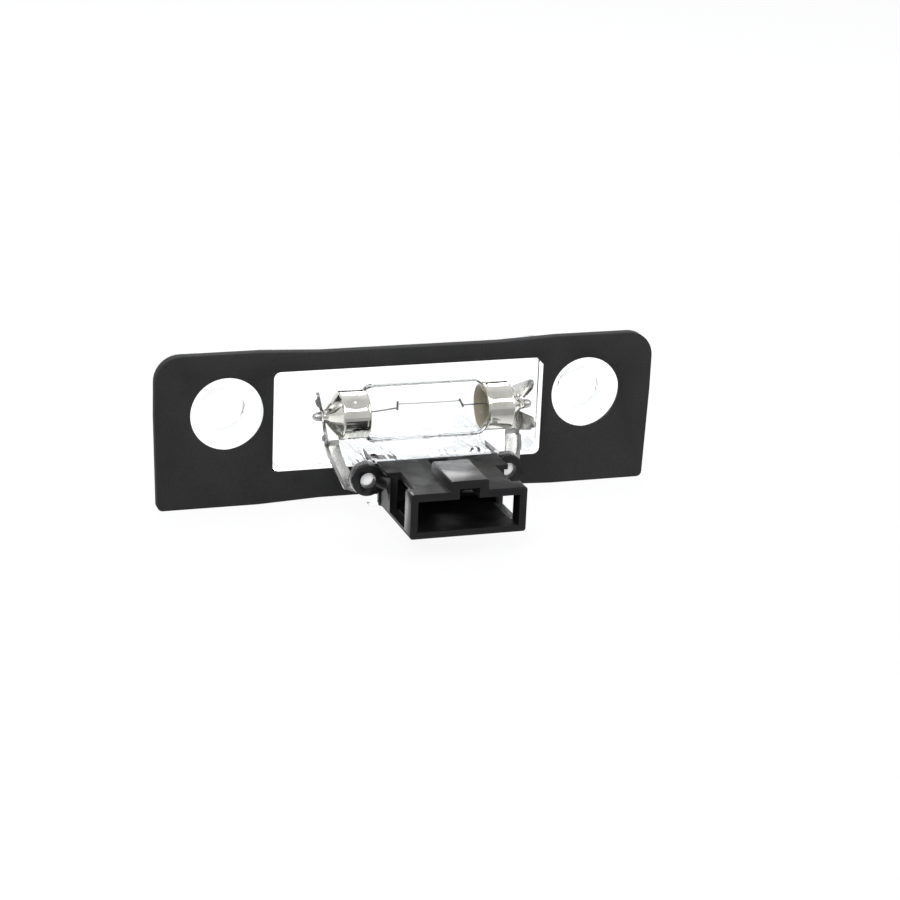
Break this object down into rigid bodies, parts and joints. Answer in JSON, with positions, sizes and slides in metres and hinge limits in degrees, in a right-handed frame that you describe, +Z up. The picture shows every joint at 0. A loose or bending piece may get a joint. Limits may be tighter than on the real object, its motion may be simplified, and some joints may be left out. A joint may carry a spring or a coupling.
{
  "type": "number plate lamp",
  "caption": "Car number plate lamp: clear lens moulding with gasket, festoon bulb held in two spring forks, and a black rear socket.",
  "frame": {"origin": "midway between the two screw holes, on the inner face of the lens flange", "axes": "+X along the lamp, +Y out through the lens, along the screws, +Z up, as the picture shows the lamp"},
  "size_m": [0.094, 0.0418, 0.0284],
  "materials": {
    "clear_plastic": "clear, polished",
    "gasket_rubber": "matt, faintly grained",
    "black_plastic": "moulded, satin gloss",
    "spring_metal": "plated, bright",
    "bulb_glass": "clear",
    "cap_metal": "nickel plated",
    "solder": "dull bright",
    "cement": "matt",
    "wire_metal": "drawn wire",
    "filament_metal": "coiled wire"
  },
  "bodies": {
    "root": {"lens": "clear_plastic", "gasket": "gasket_rubber", "connector_housing": "black_plastic", "contact_left": "spring_metal", "contact_right": "spring_metal", "bulb_glass": "bulb_glass", "bulb_cap_left": "cap_metal", "bulb_cap_right": "cap_metal", "solder_tip_left": "solder", "solder_tip_right": "solder", "cement_ring_left": "cement", "cement_ring_right": "cement", "lead_wire_left": "wire_metal", "lead_wire_right": "wire_metal", "filament": "filament_metal"}
  },
  "joints": []
}
